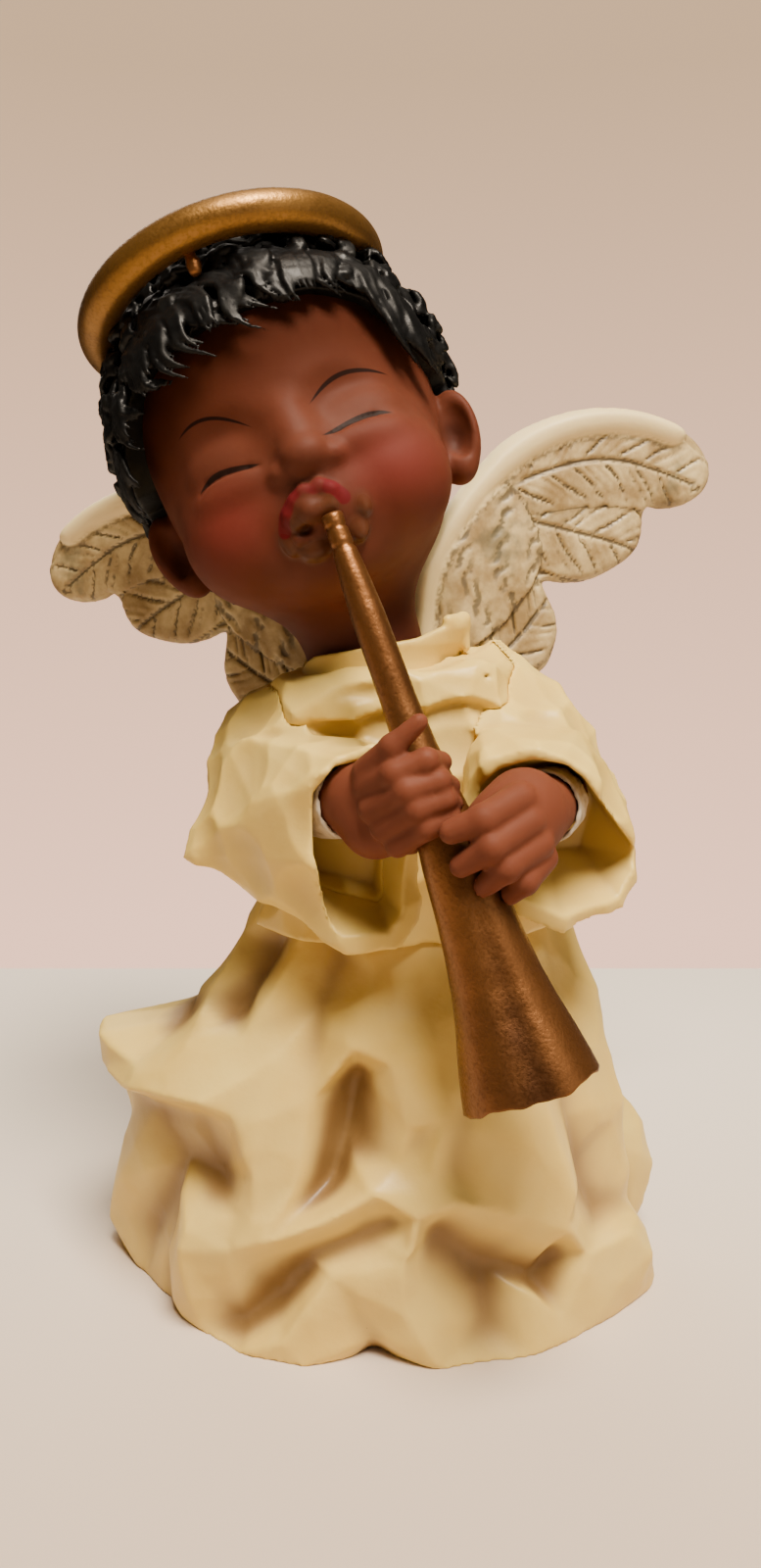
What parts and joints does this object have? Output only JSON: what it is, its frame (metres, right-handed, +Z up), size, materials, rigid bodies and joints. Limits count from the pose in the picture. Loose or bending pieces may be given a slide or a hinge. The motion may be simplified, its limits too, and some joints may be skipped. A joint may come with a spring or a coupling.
{
  "type": "cherub figurine",
  "caption": "Small painted cherub in a folded robe playing a long flared horn, with leaf-feathered wings and a tilted ring halo.",
  "frame": {"origin": "centre of the base's underside, on the surface it stands on", "axes": "+Z up, -Y out of the front towards the viewer, +X to the viewer's right"},
  "size_m": [0.1071, 0.077, 0.1497],
  "materials": {
    "cream_paint": "glossy cream paint over cast resin, tan wash in the hollows",
    "cuff_paint": "thin ivory paint, worn at the edge",
    "skin_paint": "satin reddish-brown paint, rosy cheeks, fine painted brows and lashes",
    "hair_paint": "glossy black paint on carved curls",
    "halo_gilt": "gold metallic paint, satin, fine speckle",
    "horn_gilt": "antique gold metallic paint, brushed, brown wash in the hollows",
    "wing_paint": "cream paint with an olive-brown wash in the carved veins",
    "felt": "short-pile felt",
    "bare_resin": "unpainted cast resin"
  },
  "bodies": {
    "root": {"skirt": "cream_paint", "base_pad": "felt", "torso": "bare_resin", "robe_top": "cream_paint", "collar": "cream_paint", "sleeve_right": "cream_paint", "sleeve_left": "cream_paint", "cuff_right": "cuff_paint", "cuff_left": "cuff_paint", "hand_right": "skin_paint", "hand_left": "skin_paint", "horn": "horn_gilt", "head": "skin_paint", "hair": "hair_paint", "halo": "halo_gilt", "halo_pins": "halo_gilt", "wing_right": "wing_paint", "wing_left": "wing_paint", "wing_pegs": "bare_resin", "neck_dowel": "bare_resin", "waist_dowel": "bare_resin"}
  },
  "joints": []
}
